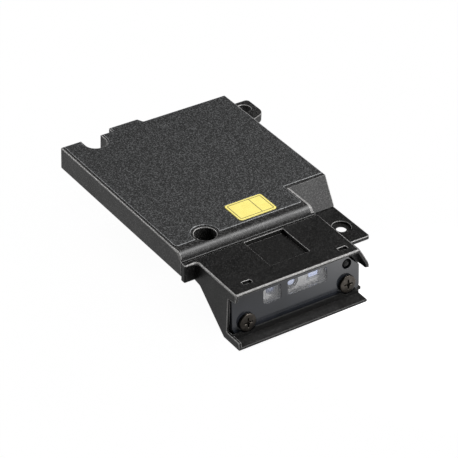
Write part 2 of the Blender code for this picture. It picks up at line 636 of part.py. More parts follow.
def make_engine():
    (x0, x1), (y0, y1), (z0, z1) = ENGINE_X, ENGINE_Y, ENGINE_Z
    chassis = block("engine_chassis", (x0, y0, z0), (x1, y1, z1), "chip", bevel=0.25)
    cut(chassis, prism("lens_bore", ring(LENS_X, OPTIC_Z, 2.45, 28), y0 - 2, y1 + 2, axis="Y"))
    cut(chassis, prism("aimer_bore", ring(AIMER_X, OPTIC_Z, 1.75, 24), y0 - 2, y0 + 2.6, axis="Y"))
    pocket = block("led_pocket", (LED_X - 2.3, y0 - 2, OPTIC_Z - 1.7), (LED_X + 2.3, y0 + 2.4, OPTIC_Z + 1.7))
    cut(chassis, pocket)
    for x in (x0 + 1.2, x1 - 1.2):
        bore = ring(x, z1 - 1.6, 0.75, 12)
        cut(chassis, prism(f"engine_screw_bore_{x:.0f}", bore, y1 - 2.6, y1 + 2, axis="Y"))
    barrel = prism("lens_barrel", ring(LENS_X, OPTIC_Z, 2.15, 28), y0 - 0.25, y1 - 0.9, "chip", "Y",
                   [ring(LENS_X, OPTIC_Z, 1.45, 28)])
    smooth(barrel)
    dome = [math.radians(d) for d in (0, 25, 50, 72)]
    lens = [(1.15 * math.sin(a), 0.9 * math.cos(a) - 0.3) for a in dome]
    turned("imaging_lens", [*lens, (1.15, -0.5), (0, -0.5)], "glass", (LENS_X, y0 + 1.0, OPTIC_Z), "-Y")
    aimer = [(1.2 * math.sin(a), 1.0 * math.cos(a) - 0.2) for a in dome]
    aimer += [(1.4, 0.0), (1.4, -1.6), (0, -1.6)]
    turned("aimer_lens", aimer, "glass", (AIMER_X, y0 + 0.6, OPTIC_Z), "-Y")
    low, high = (LED_X - 1.9, y0 + 1.0, OPTIC_Z - 1.3), (LED_X + 1.9, y0 + 2.1, OPTIC_Z + 1.3)
    block("led_body", low, high, "connector", bevel=0.1)
    low, high = (LED_X - 1.4, y0 + 0.1, OPTIC_Z - 0.95), (LED_X + 1.4, y0 + 0.7, OPTIC_Z + 0.95)
    block("led_lens", low, high, "glass", bevel=0.15)
    holes = [ring(x, z1 - 1.6, 0.8, 12) for x in (x0 + 1.2, x1 - 1.2)]
    face = rectangle(x0, z0 + 0.9, x1, z1 - 0.2, 0.4)
    prism("engine_board", face, y1 + GAP, y1 + GAP + 0.7, "board", "Y", holes)
    for side, x in (("left", x0 + 1.2), ("right", x1 - 1.2)):
        make_screw(f"engine_screw_{side}", (x, y1 + 2 * GAP + 0.7, z1 - 1.6), "Y", 0.95, 0.5, 0.5, 2.9)
    block("engine_cushion", (16.0, -15.2, -5.7), (36.0, -11.2, -5.3), "foam")
    block("image_sensor", (LENS_X - 1.8, y1 - 0.5, OPTIC_Z - 1.4), (LENS_X + 1.8, y1, OPTIC_Z + 1.4), "chip")


# ---------------------------------------------------------------- electronics


def make_main_board():
    under = BOARD_TOP - BOARD_T
    outline = rounded([(8.6, 10.0, 0.6), (49.4, 10.0, 0.6), (49.4, 57.0, 0.6), (16.2, 57.0, 0.6),
                       (16.2, 53.2, 0.3), (8.6, 53.2, 0.6)])
    holes = [ring(x, y, 1.05, 16) for x, y in BOARD_SCREWS]
    prism("main_board", outline, under, BOARD_TOP, "board", holes=holes)
    top = BOARD_TOP + GAP
    block("processor_chip", (20.0, 22.0, top), (32.0, 34.0, top + 1.0), "chip", bevel=0.1)
    block("thermal_pad", (20.5, 22.5, top + 1.3), (31.5, 33.5, top + 2.0), "pad")
    block("memory_chip", (35.5, 23.0, top), (43.5, 33.0, top + 0.9), "chip", bevel=0.1)
    shield = block("shield_can", (19.0, 38.0, top), (41.0, 54.0, top + 1.7), "steel", bevel=0.3)
    cut(shield, block("shield_inside", (19.3, 38.3, top - 1.0), (40.7, 53.7, top + 1.4)))
    block("power_inductor", (12.0, 24.0, top), (16.0, 28.0, top + 1.6), "chip", bevel=0.3)
    block("clock_crystal", (12.2, 32.0, top), (15.4, 34.5, top + 0.8), "steel", bevel=0.2)
    block("insulating_sheet", (15.0, 12.0, -7.9), (43.0, 36.0, -7.55), "foam")


def make_dock():
    under = BOARD_TOP - BOARD_T - GAP
    dock = block("docking_connector", (21.2, 39.2, TRAY_BOTTOM - 0.3), (38.8, 44.8, under), "chip", bevel=0.2)
    slot = rectangle(22.6, 41.1, 37.4, 42.9, 0.3)
    cut(dock, prism("dock_slot", slot, TRAY_BOTTOM - 2.0, under - 1.2))
    return dock


def make_zif():
    low, high = BOARD_TOP + GAP, -2.6
    body = block("flex_connector", (18.8, 10.4, low), (33.2, 14.4, high), "connector")
    cut(body, block("latch_bay", (19.7, 12.2, -3.5), (32.3, 16.0, 0.0)))
    cut(body, block("flex_mouth", (19.9, 8.0, -3.75), (32.1, 11.8, -2.95)))
    cut(body, prism("latch_pivots", ring(*LATCH_AXIS, 0.3, 16), 19.2, 32.8, axis="X"))
    hinge = new_empty("latch_hinge", frame, (26.0, *LATCH_AXIS))
    latch = block("flex_latch", (-5.9, -0.35, -0.3), (5.9, 1.0, 0.3), "chip", hinge, bevel=0.08)
    join(latch, prism("latch_pins", ring(0, 0, 0.2, 16), -6.6, 6.6, axis="X", parent=hinge))
    return body


def make_flex():
    """The ribbon from the scan engine's board to the flex connector, as a band along a path in (y, z)."""
    path = rounded([
        (-8.85, -7.0), (-8.2, -7.0, 0.5), (-6.4, -6.3, 1.0), (1.0, -6.3, 2.0), (7.6, -3.35, 1.2),
        (11.5, -3.35),
    ], 5)
    half = 0.1
    upper, lower = [], []
    for i, point in enumerate(path):
        ahead = Vector(path[min(i + 1, len(path) - 1)]) - Vector(path[max(i - 1, 0)])
        normal = Vector((-ahead.y, ahead.x)).normalized() * half
        upper.append(tuple(Vector(point) + normal))
        lower.append(tuple(Vector(point) - normal))
    prism("engine_flex", [*lower, *reversed(upper)], *FLEX_X, "flex", "X")


clear_scene()
parts = new_collection("Optical scanner module")
cutters = new_collection("Cutters")
cutters.hide_render = True
frame = bpy.data.objects.new("module_frame", None)
parts.objects.link(frame)
frame.location = Vector((-32.2, -(LIP_FRONT_Y + 63.0) / 2, -BASE_Z)) * MM
window_frame = new_empty("window_frame", frame, WINDOW_CENTRE, -WINDOW_TILT)
make_top_cover()
make_top_sheet()
make_lower_tray()
make_hood()
make_window()
make_engine()
make_main_board()
make_dock()
make_zif()
make_flex()
make_fasteners()
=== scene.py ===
"""Looks of the optical scanner module: rounded shells, procedural materials, floor, lights, camera.

The design frame is in millimetres: X right along the front edge, Y back, Z up, with Z = 0 at the textured
top face. at() turns a point of it into the row frame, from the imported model's own box.
"""

import json
import math

import bmesh
import bpy
from mathutils import Matrix, Vector

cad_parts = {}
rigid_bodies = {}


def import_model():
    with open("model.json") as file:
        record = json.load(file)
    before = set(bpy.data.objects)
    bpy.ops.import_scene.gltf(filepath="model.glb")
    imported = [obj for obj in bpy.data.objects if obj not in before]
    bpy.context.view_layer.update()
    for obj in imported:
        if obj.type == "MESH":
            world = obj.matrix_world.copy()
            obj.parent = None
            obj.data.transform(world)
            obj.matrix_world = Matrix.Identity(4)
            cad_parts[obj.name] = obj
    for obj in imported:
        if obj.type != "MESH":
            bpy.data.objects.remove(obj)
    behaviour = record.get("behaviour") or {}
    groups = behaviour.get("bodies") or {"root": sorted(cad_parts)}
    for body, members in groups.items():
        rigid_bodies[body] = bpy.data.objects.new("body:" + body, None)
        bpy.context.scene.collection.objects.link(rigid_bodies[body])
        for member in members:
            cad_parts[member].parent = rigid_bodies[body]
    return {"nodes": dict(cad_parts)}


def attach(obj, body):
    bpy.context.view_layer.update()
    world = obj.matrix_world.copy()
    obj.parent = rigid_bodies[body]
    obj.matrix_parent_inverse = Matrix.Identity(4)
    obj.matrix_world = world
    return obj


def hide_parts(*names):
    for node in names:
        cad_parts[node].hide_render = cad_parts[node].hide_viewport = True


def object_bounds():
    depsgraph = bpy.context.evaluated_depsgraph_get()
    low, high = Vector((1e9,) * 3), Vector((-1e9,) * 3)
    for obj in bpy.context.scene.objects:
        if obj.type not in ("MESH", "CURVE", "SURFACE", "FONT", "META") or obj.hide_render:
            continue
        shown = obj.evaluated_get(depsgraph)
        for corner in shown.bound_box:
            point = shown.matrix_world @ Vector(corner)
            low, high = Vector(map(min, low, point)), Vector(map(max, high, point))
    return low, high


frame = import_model()
CAD_LOW, CAD_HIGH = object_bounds()

MM = 0.001
LIP_FRONT_Y = -23.67  # the model's foremost edge, in the design frame
BASE_Z = -18.87  # the model's lowest face
ORIGIN = Vector((CAD_LOW.x, CAD_LOW.y - LIP_FRONT_Y * MM, CAD_LOW.z - BASE_Z * MM))

CAMERA_PLACE = (-267.50, -396.89, 335.06)
CAMERA_AZIMUTH = 35.530
CAMERA_ELEVATION = 34.334
CAMERA_ROLL = 2.305
CAMERA_LENS = 174.0

FACE = 0  # material index of a piece's faces
EDGE = 1  # material index of its rounded rims, which take a lighter paint as a painted highlight
GAP = 0.3
SLIVER = 0.0008
NUDGE = 0.02  # keeps faces that a union or a cut brings together from lying in one plane
DEEP = -12.0  # where cuts through the housing start, well under it
WIDTH = 56.0
BACK_Y = 61.1
FOOT_Y = -1.12
FOOT_TOP = -2.35
FOOT_UNDER = -3.2
COVER_TOP = -0.2
COVER_BOTTOM = -7.0
COVER_WALL = 1.3
COVER_CEILING = -1.5
NOSE_Y = 1.48
NOSE_R = 2.15
NOSE_RIGHT = 44.05
CUTBACK_TOP_Y = 10.9
CUTBACK_SLOPE = 0.634
CUTBACK_LOW = -7.98
POCKET_FLOOR = -0.7
ACCESS_HOLE = (11.05, 4.05)
ACCESS_R = 3.1
NOTCH_X = 9.95
NOTCH_Y = 58.55
NOTCH_R = 3.25
EAR_HOLE = (60.5, 57.3)
EAR_TOP = -4.3
LABEL_LOW = (22.25, 3.7)
LABEL_HIGH = (34.8, 12.3)

TRAY_TOP = -8.28
TRAY_BOTTOM = -9.52
TRAY_LEFT = 2.6
TRAY_FRONT_Y = -1.1
FLANGE_FRONT_Y = -10.59
FLANGE_LEFT = 44.6
FLANGE_HOLE = (51.8, -3.1)
TRAY_SCREWS = ((5.9, 13.0), (5.9, 49.0), (51.9, 16.0), (51.9, 54.0))
BOARD_SCREWS = ((11.5, 13.5), (11.5, 50.0), (46.5, 13.5), (46.5, 53.5))
BOARD_UNDER = -5.2
TONGUE_X = (17.5, 37.5)
CONTACT_COUNT = 11
CONTACT_PITCH = 1.2
CONNECTOR_X = 30.0
CONTACT_ROWS = {"front": (41.25, 0.18), "back": (42.75, -0.18)}  # each row's Y and the lean of its springs

PLATE_TOP = -2.645
RECESS_FLOOR = -3.85
SHEET_WALL = 0.9
HOOD_LEFT = 3.89
HOOD_RIGHT = 48.1
PLATE_RIGHT = 44.39
HOOD_FRONT_Y = -20.96
HOOD_BACK_Y = -1.42
BLOCK_FRONT_Y = -2.97
LIP_TOP = -18.04
LIP_RIGHT = 46.1
SILL_FRONT_Y = -19.8
SILL_TOP = -16.4
SILL_NOTCH_Z = -14.45
SILL_NOTCH_R = 2.95
WING_BACK_Y = -10.95
FLOOR_LOW = (-16.4, BASE_Z)
FLOOR_HIGH = (-4.5, -9.42)

WINDOW_X = 26.0
WINDOW_LEAN = -6.0
WINDOW = Matrix.Translation((WINDOW_X, -18.03, -11.0)) @ Matrix.Rotation(math.radians(WINDOW_LEAN), 4, "X")
WINDOW_T = 0.9
MASK_BACK = 1.5
SCREW_X = 16.46
SCREW_Z = -3.5
PIN_AT = (16.7, 2.4)
PANES = {"small": (-10.75, -5.0), "large": (-2.85, 10.05)}
PANE_Z = (-0.45, 3.9)
LENS_AT = (25.7, -15.7, -9.4)

# lighter paint for the rounded rims: a painted highlight along the edges
RIM_HIGHLIGHT_PAINT = (0.07, 0.11, 0.18)
# a pool of light painted into the floor's glow, for the window panel to reflect
POOL_CENTRE = (62.0, -45.0)
POOL_RADIUS = 48.0
POOL_GLOW = 4.5
FLOOR_GLOW = 0.95
SKY_GLOW = 0.06
LIGHT_AIM = (0.0, 0.0, 0.01)
SOFTBOXES = {  # place and size in metres in the row frame, and radiance
    "key_softbox": ((0.288, -0.190, 0.475), (0.44, 0.24), 32.0),
    "front_fill": ((0.300, -0.500, 0.225), (0.28, 0.34), 9.5),
    "rim_strip": ((-0.340, 0.400, 0.290), (0.22, 0.14), 38.0),
}


def at(x, y, z):
    """A design-frame point in the row frame."""
    return ORIGIN + Vector((x, y, z)) * MM


# ---------------------------------------------------------------- camera


def make_camera():
    """The camera, from its place in the design frame and its three angles in degrees."""
    azimuth, elevation, roll = (math.radians(a) for a in (CAMERA_AZIMUTH, CAMERA_ELEVATION, CAMERA_ROLL))
    forward = Vector((
        math.sin(azimuth) * math.cos(elevation),
        math.cos(azimuth) * math.cos(elevation),
        -math.sin(elevation),
    ))
    level = Vector((math.cos(azimuth), -math.sin(azimuth), 0.0))
    upright = level.cross(forward)
    right = level * math.cos(roll) + upright * math.sin(roll)
    up = upright * math.cos(roll) - level * math.sin(roll)
    camera = bpy.data.objects.new("camera", bpy.data.cameras.new("camera"))
    bpy.context.scene.collection.objects.link(camera)
    camera.data.lens = CAMERA_LENS
    camera.data.sensor_width = 36.0
    camera.data.clip_start = 0.01
    turn = Matrix((right, up, -forward)).transposed().to_4x4()
    camera.matrix_world = Matrix.Translation(at(*CAMERA_PLACE)) @ turn
    bpy.context.scene.camera = camera


# ---------------------------------------------------------------- materials


class Shader:
    """A material's nodes, built from the Principled shader outwards, in the object's coordinates."""

    def __init__(self, name, **values):
        self.material = bpy.data.materials.new(name)
        self.material.use_nodes = True
        self.tree = self.material.node_tree
        self.shader = self.tree.nodes["Principled BSDF"]
        for key, value in values.items():
            self.shader.inputs[key.replace("_", " ")].default_value = value
        self.place = self.tree.nodes.new("ShaderNodeTexCoord").outputs["Object"]

    def link(self, output, socket):
        self.tree.links.new(output, socket)

    def noise(self, grain, detail=2.0, roughness=0.5):
        """Noise whose lumps are about grain millimetres across."""
        node = self.tree.nodes.new("ShaderNodeTexNoise")
        node.inputs["Scale"].default_value = 1.0 / (grain * MM)
        node.inputs["Detail"].default_value = detail
        node.inputs["Roughness"].default_value = roughness
        self.link(self.place, node.inputs["Vector"])
        return node.outputs["Fac"]

    def colours(self, factor, *stops):
        """Base colour from a factor through (position, colour) stops."""
        node = self.tree.nodes.new("ShaderNodeValToRGB")
        while len(node.color_ramp.elements) < len(stops):
            node.color_ramp.elements.new(0.5)
        for element, (position, colour) in zip(node.color_ramp.elements, stops):
            element.position = position
            element.color = (*colour, 1.0)
        self.link(factor, node.inputs["Fac"])
        self.link(node.outputs["Color"], self.shader.inputs["Base Color"])

    def span(self, factor, low, high, socket):
        """Drives a socket from low to high as the factor goes from 0.3 to 0.7."""
        node = self.tree.nodes.new("ShaderNodeMapRange")
        node.inputs["From Min"].default_value = 0.3
        node.inputs["From Max"].default_value = 0.7
        node.inputs["To Min"].default_value = low
        node.inputs["To Max"].default_value = high
        self.link(factor, node.inputs["Value"])
        self.link(node.outputs["Result"], self.shader.inputs[socket])

    def bump(self, *layers):
        """Stacks (factor, height in millimetres) layers of relief."""
        below = None
        for factor, height in layers:
            node = self.tree.nodes.new("ShaderNodeBump")
            node.inputs["Strength"].default_value = 1.0
            node.inputs["Distance"].default_value = height * MM
            self.link(factor, node.inputs["Height"])
            if below:
                self.link(below, node.inputs["Normal"])
            below = node.outputs["Normal"]
        self.link(below, self.shader.inputs["Normal"])


def grey(value, warm=0.0):
    return (value * (1 + warm), value, value * (1 - warm))


def cast_paint(name, tones, roughness, relief, grain, gloss=0.12):
    """Black powder paint: fine orange peel, with lighter specks where the grains catch the light."""
    made = Shader(name, Specular_IOR_Level=gloss)
    fine = made.noise(grain, 3.0, 0.65)
    broad = made.noise(7.0, 2.0)
    dark, middle, light = tones
    made.colours(fine, (0.36, grey(dark, 0.02)), (0.52, grey(middle, 0.02)), (0.68, grey(light, 0.01)))
    made.span(broad, roughness - 0.03, roughness + 0.04, "Roughness")
    made.bump((broad, 0.03), (fine, relief))
    return made.material


def grained_film(name, tones):
    """Leather-grained film: coarse lumps whose colour follows their height, crowns painted lighter as a
    highlight and valleys darker as painted shade.
    """
    made = Shader(name, Specular_IOR_Level=0.3)
    coarse = made.noise(0.38, 2.0, 0.55)
    fine = made.noise(0.18, 2.0, 0.5)
    dark, middle, light = tones
    made.colours(coarse, (0.37, grey(dark, -0.02)), (0.51, grey(middle, -0.02)), (0.65, grey(light, -0.02)))
    made.span(fine, 0.42, 0.58, "Roughness")
    made.bump((fine, 0.012), (coarse, 0.11))
    return made.material


def label_film():
    made = Shader("label_film", Specular_IOR_Level=0.4, Coat_Weight=0.25, Coat_Roughness=0.2)
    cloud = made.noise(2.2, 3.0)
    made.colours(cloud, (0.3, (0.338, 0.292, 0.080)), (0.7, (0.354, 0.308, 0.086)))
    made.span(cloud, 0.42, 0.5, "Roughness")
    made.bump((made.noise(0.35, 2.0), 0.002))
    return made.material


def label_ink():
    made = Shader("label_ink", Specular_IOR_Level=0.3)
    made.colours(made.noise(0.3), (0.3, (0.05, 0.045, 0.02)), (0.7, (0.09, 0.08, 0.035)))
    made.span(made.noise(0.4), 0.4, 0.55, "Roughness")
    return made.material


def panel_print():
    """The window's face: glossy blue-grey print under a clear hard coat."""
    made = Shader("panel_print", Specular_IOR_Level=0.38)
    cloud = made.noise(5.0, 2.0)
    made.colours(cloud, (0.3, (0.008, 0.009, 0.011)), (0.7, (0.011, 0.012, 0.015)))
    made.span(cloud, 0.1, 0.16, "Roughness")
    made.bump((made.noise(0.6, 2.0), 0.0006))
    return made.material


def smoked_pane():
    """Half-clear grey filter, through which the engine's lenses show faintly."""
    made = Shader("smoked_pane", Specular_IOR_Level=0.42, Alpha=0.17)
    cloud = made.noise(2.5, 2.0)
    made.colours(cloud, (0.3, (0.27, 0.272, 0.28)), (0.7, (0.31, 0.312, 0.32)))
    made.span(cloud, 0.08, 0.14, "Roughness")
    made.bump((made.noise(0.8, 2.0), 0.00015))
    return made.material


def mask_print():
    made = Shader("mask_print", Specular_IOR_Level=0.5)
    cloud = made.noise(7.0, 2.0)
    made.colours(cloud, (0.3, (0.033, 0.034, 0.038)), (0.7, (0.039, 0.040, 0.045)))
    made.span(cloud, 0.24, 0.3, "Roughness")
    made.bump((made.noise(0.5, 2.0), 0.0015))
    return made.material


def screw_steel(name, dark, light, roughness):
    made = Shader(name, Metallic=1.0)
    blotch = made.noise(1.1, 3.0)
    made.colours(blotch, (0.3, dark), (0.7, light))
    made.span(made.noise(0.3, 3.0), roughness - 0.05, roughness + 0.09, "Roughness")
    made.bump((made.noise(0.12, 2.0), 0.004))
    return made.material


def plain_finish(name, dark, light, roughness, grain=0.4, relief=0.006, **values):
    """A moulded, printed or machined surface with slight mottling."""
    made = Shader(name, **values)
    speck = made.noise(grain, 3.0)
    made.colours(speck, (0.3, dark), (0.7, light))
    made.span(made.noise(grain * 4), roughness - 0.04, roughness + 0.06, "Roughness")
    made.bump((speck, relief))
    return made.material


def circuit_board():
    """Solder mask with faint copper tracks under it."""
    made = Shader("circuit_board", Specular_IOR_Level=0.5)
    tracks = made.tree.nodes.new("ShaderNodeTexBrick")
    tracks.inputs["Scale"].default_value = 260.0
    tracks.inputs["Mortar Size"].default_value = 0.03
    tracks.inputs["Color1"].default_value = (0.008, 0.060, 0.022, 1.0)
    tracks.inputs["Color2"].default_value = (0.010, 0.075, 0.028, 1.0)
    tracks.inputs["Mortar"].default_value = (0.030, 0.150, 0.050, 1.0)
    made.link(made.place, tracks.inputs["Vector"])
    made.link(tracks.outputs["Color"], made.shader.inputs["Base Color"])
    made.span(made.noise(3.0), 0.32, 0.42, "Roughness")
    made.bump((tracks.outputs["Fac"], 0.02))
    return made.material


def ribbon_film():
    """Amber polyimide over fine copper lines that run along the ribbon."""
    made = Shader("ribbon_film", Specular_IOR_Level=0.5, Coat_Weight=0.4, Coat_Roughness=0.15)
    lines = made.tree.nodes.new("ShaderNodeTexWave")
    lines.bands_direction = "X"
    lines.inputs["Scale"].default_value = 320.0
    made.link(made.place, lines.inputs["Vector"])
    made.colours(lines.outputs["Fac"], (0.35, (0.33, 0.13, 0.02)), (0.6, (0.56, 0.27, 0.05)))
    made.span(made.noise(2.0), 0.28, 0.4, "Roughness")
    made.bump((lines.outputs["Fac"], 0.01))
    return made.material


def lens_glass(name, glow):
    """Coated bluish glass with a painted glow of the given strength."""
    made = Shader(name, IOR=1.6, Transmission_Weight=0.6, Coat_Weight=0.6, Coat_Roughness=0.02)
    made.shader.inputs["Emission Color"].default_value = (0.82, 0.87, 1.0, 1.0)
    made.shader.inputs["Emission Strength"].default_value = glow
    made.colours(made.noise(3.0), (0.3, (0.20, 0.24, 0.42)), (0.7, (0.30, 0.36, 0.58)))
    made.span(made.noise(4.0), 0.03, 0.07, "Roughness")
    return made.material


def make_materials():
    """Every material, under the record's slot name or the name of the piece that takes it."""
    return {
        "cast_cover": cast_paint("cast_cover", (0.001, 0.005, 0.032), 0.44, 0.014, 0.42, 0.20),
        # the lighter second materials go on the rounded rims as a painted highlight
        "cast_cover_edge": cast_paint("cast_cover_edge", RIM_HIGHLIGHT_PAINT, 0.30, 0.010, 0.50),
        "cast_hood": cast_paint("cast_hood", (0.001, 0.003, 0.016), 0.42, 0.026, 0.34),
        "cast_hood_edge": cast_paint("cast_hood_edge", RIM_HIGHLIGHT_PAINT, 0.32, 0.008, 0.40),
        "textured_film": grained_film("textured_film", (0.003, 0.008, 0.036)),
        "textured_film_edge": grained_film("textured_film_edge", (0.04, 0.07, 0.12)),
        "label": label_film(),
        "ink": label_ink(),
        "panel": panel_print(),
        "pane": smoked_pane(),
        "mask": mask_print(),
        "dark_steel": screw_steel("dark_steel", (0.024, 0.021, 0.018), (0.046, 0.041, 0.036), 0.34),
        "steel": screw_steel("steel", (0.48, 0.48, 0.49), (0.62, 0.62, 0.63), 0.3),
        "brass": screw_steel("brass", (0.62, 0.44, 0.18), (0.76, 0.57, 0.27), 0.3),
        "circuit_board": circuit_board(),
        "black_plastic": plain_finish("black_plastic", grey(0.02), grey(0.034), 0.42),
        "engine_plastic": plain_finish("engine_plastic", grey(0.46), grey(0.51), 0.6, 0.4, 0.001),
        "barrel_plastic": plain_finish("barrel_plastic", grey(0.01), grey(0.02), 0.35),
        "ivory_plastic": plain_finish("ivory_plastic", (0.62, 0.57, 0.46), (0.70, 0.65, 0.54), 0.45),
        # the lenses carry a painted glow, strongest on the imaging lens and the LED's lens
        "lens_glass": lens_glass("lens_glass", 0.06),
        "imaging_glass": lens_glass("imaging_glass", 0.3),
        "led_glass": lens_glass("led_glass", 0.36),
        "flex_film": ribbon_film(),
        "thermal_pad": plain_finish("thermal_pad", (0.34, 0.36, 0.40), (0.42, 0.44, 0.48), 0.85, 0.3, 0.02),
        "foam": plain_finish("foam", grey(0.01), grey(0.03), 0.95, 0.25, 0.06),
        "gold": screw_steel("gold", (0.78, 0.56, 0.22), (0.86, 0.66, 0.32), 0.25),
    }


# ---------------------------------------------------------------- shape helpers


def arc(x, y, radius, start, end, count=12):
    """Points of an arc between two angles in degrees."""
    angles = [math.radians(start + (end - start) * k / count) for k in range(count + 1)]
    return [(x + radius * math.cos(a), y + radius * math.sin(a)) for a in angles]


def ring(x, y, radius, count=64):
    """Points of a circle."""
    return arc(x, y, radius, 0.0, 360.0 - 360.0 / count, count - 1)


def rounded(corners, steps=6):
    """Outline of (x, y) corners; a corner given as (x, y, radius) becomes an arc."""
    points = []
    count = len(corners)
    for i, corner in enumerate(corners):
        here = Vector(corner[:2])
        radius = corner[2] if len(corner) == 3 else 0.0
        if not radius:
            points.append(tuple(here))
            continue
        before = (Vector(corners[i - 1][:2]) - here).normalized()
        after = (Vector(corners[(i + 1) % count][:2]) - here).normalized()
        half = before.angle(after) / 2
        centre = here + (before + after).normalized() * (radius / math.sin(half))
        start = here + before * (radius / math.tan(half)) - centre
        turn = start.angle_signed(here + after * (radius / math.tan(half)) - centre)
        points += [tuple(centre + Matrix.Rotation(-turn * k / steps, 2) @ start) for k in range(steps + 1)]
    return points


def rectangle(low_x, low_y, high_x, high_y, radius=0.0):
    corners = ((low_x, low_y), (high_x, low_y), (high_x, high_y), (low_x, high_y))
    return rounded([(*c, radius) for c in corners])


def loft(rows, placement=None, rims=()):
    """A closed body, in millimetres, through rows of points, flat at its two ends.

    The strips whose numbers are in rims take the second material, a lighter paint that is a painted highlight
    on the rounded edges.
    """
    shape = bmesh.new()
    rings = [[shape.verts.new(point) for point in row] for row in rows]
    for strip, (lower, upper) in enumerate(zip(rings, rings[1:])):
        for i, vert in enumerate(lower):
            j = (i + 1) % len(lower)
            face = shape.faces.new((vert, lower[j], upper[j], upper[i]))
            face.material_index = EDGE if strip in rims else FACE
    shape.faces.new(reversed(rings[0]))
    shape.faces.new(rings[-1])
    bmesh.ops.remove_doubles(shape, verts=shape.verts, dist=1e-5)
    bmesh.ops.triangulate(shape, faces=[face for face in shape.faces if len(face.verts) == 4])
    if shape.calc_volume(signed=True) < 0:
        bmesh.ops.reverse_faces(shape, faces=shape.faces)
    mesh = bpy.data.meshes.new("shape")
    shape.to_mesh(mesh)
    shape.free()
    mesh.materials.append(None)
    mesh.materials.append(None)
    if placement:
        mesh.transform(placement)
    obj = bpy.data.objects.new("shape", mesh)
    bpy.context.scene.collection.objects.link(obj)
    return obj


def inward_steps(outline):
    """For each point of a counter-clockwise outline, the move that insets both its sides by one."""
    steps = []
    for i, point in enumerate(outline):
        here = Vector(point)
        ahead = (Vector(outline[(i + 1) % len(outline)]) - here).normalized()
        behind = (here - Vector(outline[i - 1])).normalized()
        normals = Vector((-ahead.y, ahead.x)) + Vector((-behind.y, behind.x))
        steps.append(normals * 2 / max(normals.length_squared, 0.4))
    return steps


def counter_clockwise(outline):
    area = sum(outline[i - 1][0] * b - a * outline[i - 1][1] for i, (a, b) in enumerate(outline))
    return list(outline) if area > 0 else list(reversed(outline))


PLACE_ALONG = {
    "Z": lambda a, b, h: (a, b, h),
    "X": lambda a, b, h: (h, a, b),
    "Y": lambda a, b, h: (a, h, b),
}


def prism(outline, low, high, axis="Z", rims=(0.0, 0.0), placement=None, steps=5):
    """An outline extruded from low to high along an axis, its two rims rounded.

    A rim is a radius, or a function that gives the radius at a point of the outline. The outline's two
    coordinates are (x, y) for axis Z, (y, z) for axis X and (x, z) for axis Y.
    """
    outline = counter_clockwise(outline)
    inward = inward_steps(outline)
    rows = []
    highlight_strips = []
    for end, rim, towards in ((low, rims[0], 1), (high, rims[1], -1)):
        radii = [rim(*p) if callable(rim) else rim for p in outline]
        turns = range(steps + 1) if any(radii) else (steps,)
        bent = []
        for k in turns:
            angle = math.pi / 2 * k / steps
            row = []
            for (a, b), step, radius in zip(outline, inward, radii):
                inset = step * radius * (1 - math.sin(angle))
                level = end + towards * radius * (1 - math.cos(angle))
                row.append(PLACE_ALONG[axis](a + inset.x, b + inset.y, level))
            bent.append(row)
        # the rounded rim strips take the lighter second material, a painted highlight
        highlight_strips += range(len(rows), len(rows) + len(bent) - 1)
        rows += bent if towards > 0 else reversed(bent)
    return loft(rows, placement, highlight_strips)


def bore(outline, bottom, mouth, flare, axis="Z", placement=None, steps=4):
    """A cutter from its bottom to past its mouth, which leaves a rounded rim of radius flare there."""
    outline = counter_clockwise(outline)
    inward = inward_steps(outline)
    away = 1 if mouth > bottom else -1
    mouth += away * NUDGE / 2
    profile = [(bottom, 0.0)]
    for k in range(steps + 1):
        angle = math.pi / 2 * (1 - k / steps)
        profile.append((mouth - away * flare * (1 - math.cos(angle)), flare * (1 - math.sin(angle))))
    profile.append((mouth + away * 3.0, flare))
    rows = []
    for height, outset in profile:
        rows.append([
            PLACE_ALONG[axis](a - step.x * outset, b - step.y * outset, height)
            for (a, b), step in zip(outline, inward)
        ])
    # the flare's strips take the lighter rim material, a painted highlight round the cut's mouth
    return loft(rows, placement, range(1, steps + 1))


def block(low, high, rim=0.0):
    """An upright box between two corners, all its edges rounded."""
    plan = rectangle(low[0], low[1], high[0], high[1], rim * 1.1)
    return prism(plan, low[2], high[2], rims=(rim, rim))


def turned(profile, placement, count=64):
    """A solid of revolution about the placement's Z from (radius, height) points."""
    rows = [[(x, y, height) for x, y in ring(0.0, 0.0, radius, count)] for radius, height in profile]
    return loft(rows, placement)


def combine(target, tool, operation):
    modifier = target.modifiers.new(operation, "BOOLEAN")
    modifier.operation = operation
    modifier.solver = "EXACT"
    modifier.object = tool
    graph = bpy.context.evaluated_depsgraph_get()
    mesh = bpy.data.meshes.new_from_object(target.evaluated_get(graph))
    target.modifiers.clear()
    target.data = mesh
    bpy.data.objects.remove(tool)
    mend(mesh)


def mend(mesh):
    """Merges the hair-thin slivers that a cut can leave."""
    shape = bmesh.new()
    shape.from_mesh(mesh)
    bmesh.ops.remove_doubles(shape, verts=shape.verts, dist=SLIVER)
    bmesh.ops.dissolve_degenerate(shape, dist=SLIVER, edges=shape.edges)
    bmesh.ops.holes_fill(shape, edges=[edge for edge in shape.edges if edge.is_boundary])
    shape.to_mesh(mesh)
    shape.free()


def cut(target, *tools):
    for tool in tools:
        combine(target, tool, "DIFFERENCE")


def join(target, *tools):
    for tool in tools:
        combine(target, tool, "UNION")


def finished(obj, name, material, node=None, body="module", sharp=35.0):
    """Moves a shape from design millimetres into the row frame and makes it a piece of the model."""
    obj.name = name
    obj.data.name = name
    obj.data.transform(Matrix.Translation(ORIGIN) @ Matrix.Scale(MM, 4))
    obj.data.materials[FACE] = MATERIALS[material]
    # rims take the lighter rim copy of the material where there is one: a painted highlight
    obj.data.materials[EDGE] = MATERIALS.get(material + "_edge", MATERIALS[material])
    obj.data.shade_smooth()
    obj.data.set_sharp_from_angle(angle=math.radians(sharp))
    normals = obj.modifiers.new("Flat faces", "WEIGHTED_NORMAL")
    normals.keep_sharp = True
    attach(obj, body)
    if node:
        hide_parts(node)
    return obj


# ---------------------------------------------------------------- housing


